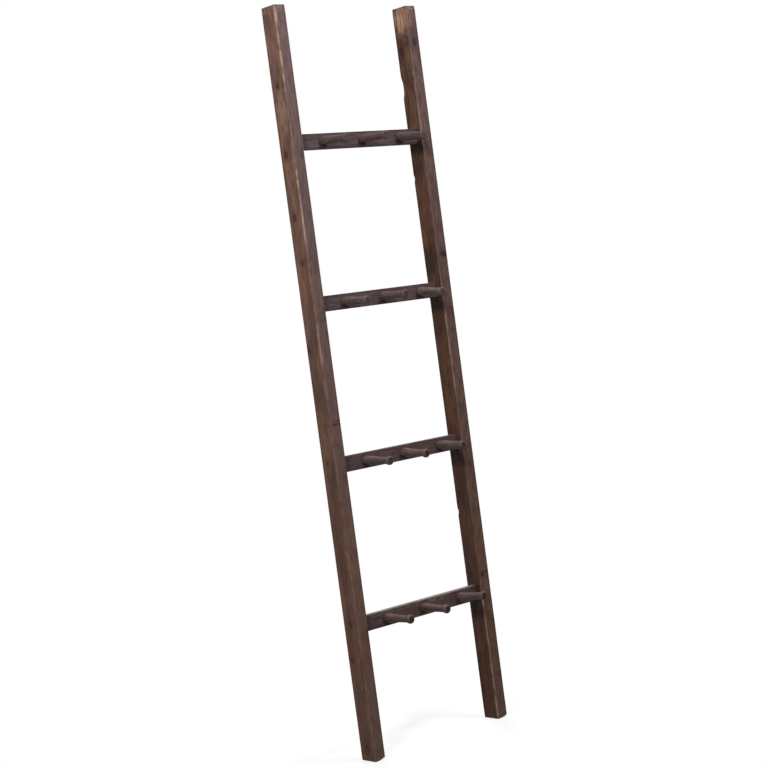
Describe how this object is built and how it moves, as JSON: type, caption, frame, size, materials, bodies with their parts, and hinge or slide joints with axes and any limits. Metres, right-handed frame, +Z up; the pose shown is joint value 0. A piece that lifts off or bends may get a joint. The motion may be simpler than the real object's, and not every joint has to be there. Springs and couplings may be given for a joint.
{
  "type": "blanket ladder",
  "caption": "Leaning wooden blanket ladder with two rectangular stiles, flat board rungs set between them and turned hanging pegs on the front of every rung.",
  "frame": {"origin": "on the floor, in the middle of the ladder's overall width and overall depth", "axes": "+Z up along the stiles, -Y the side the pegs point to, +X to the right of somebody who looks at the pegs"},
  "size_m": [0.446, 0.122, 1.83],
  "materials": {
    "stile_wood": "dark brown stain, worn edges, matt",
    "rung_wood": "dark grey-brown stain, matt",
    "peg_wood": "dark grey-brown stain, matt",
    "dowel_wood": "bare"
  },
  "bodies": {
    "root": {"left_stile": "stile_wood", "right_stile": "stile_wood", "top_rung": "rung_wood", "upper_rung": "rung_wood", "lower_rung": "rung_wood", "bottom_rung": "rung_wood", "top_rung_left_peg": "peg_wood", "top_rung_middle_peg": "peg_wood", "top_rung_right_peg": "peg_wood", "upper_rung_left_peg": "peg_wood", "upper_rung_middle_peg": "peg_wood", "upper_rung_right_peg": "peg_wood", "lower_rung_left_peg": "peg_wood", "lower_rung_middle_peg": "peg_wood", "lower_rung_right_peg": "peg_wood", "bottom_rung_left_peg": "peg_wood", "bottom_rung_middle_peg": "peg_wood", "bottom_rung_right_peg": "peg_wood", "top_rung_left_dowels": "dowel_wood", "top_rung_right_dowels": "dowel_wood", "upper_rung_left_dowels": "dowel_wood", "upper_rung_right_dowels": "dowel_wood", "lower_rung_left_dowels": "dowel_wood", "lower_rung_right_dowels": "dowel_wood", "bottom_rung_left_dowels": "dowel_wood", "bottom_rung_right_dowels": "dowel_wood"}
  },
  "joints": []
}
